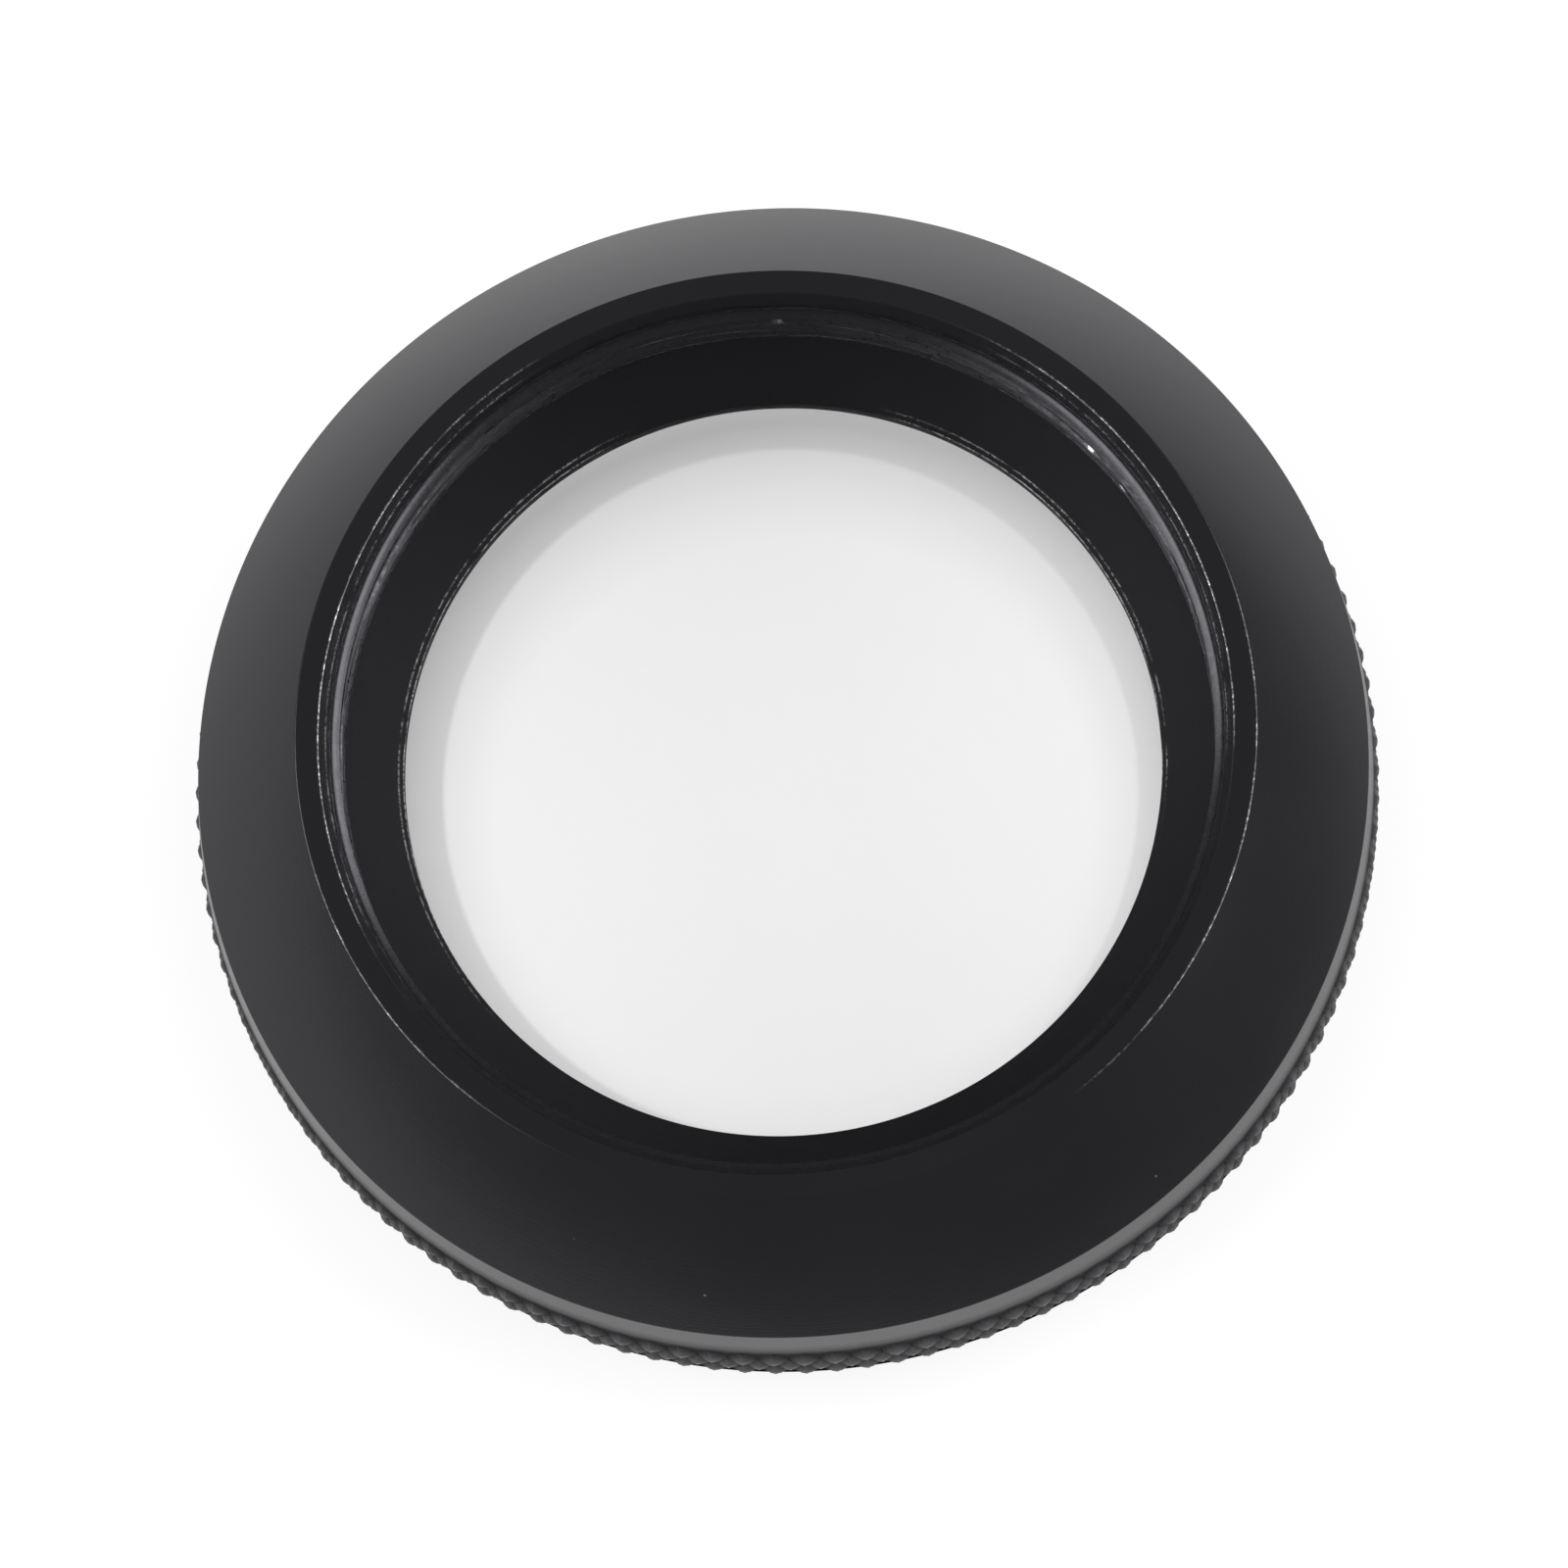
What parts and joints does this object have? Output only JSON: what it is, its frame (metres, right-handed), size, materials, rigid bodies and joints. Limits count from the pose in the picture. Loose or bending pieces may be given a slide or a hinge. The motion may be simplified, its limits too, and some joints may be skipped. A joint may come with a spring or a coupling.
{
  "type": "polarizing filter",
  "caption": "Rotating screw-in polarizing filter: black conical front ring with knurled grip rim and pale pane, turning on a threaded mount ring.",
  "frame": {"origin": "on the optical axis at the rear end of the mount thread", "axes": "+Z along the optical axis, from the lens towards the scene; X and Y across it"},
  "size_m": [0.05, 0.05, 0.0164],
  "materials": {
    "black_anodised": "satin black anodised",
    "glass": "polished, coated",
    "polarizing_film": "clear pale grey film",
    "quarter_wave_film": "clear film",
    "spring_steel": "ground flat wire"
  },
  "bodies": {
    "mount": {"mount_ring": "black_anodised", "snap_ring": "spring_steel"},
    "turning_ring": {"front_ring": "black_anodised", "front_glass": "glass", "polarizing_film": "polarizing_film", "quarter_wave_film": "quarter_wave_film", "rear_glass": "glass", "retaining_ring": "black_anodised"}
  },
  "joints": [
    {"name": "ring_turn", "type": "hinge", "parent": "mount", "child": "turning_ring", "pos_m": [0, 0, 0.00465], "axis": [0, 0, 1], "continuous": true}
  ]
}
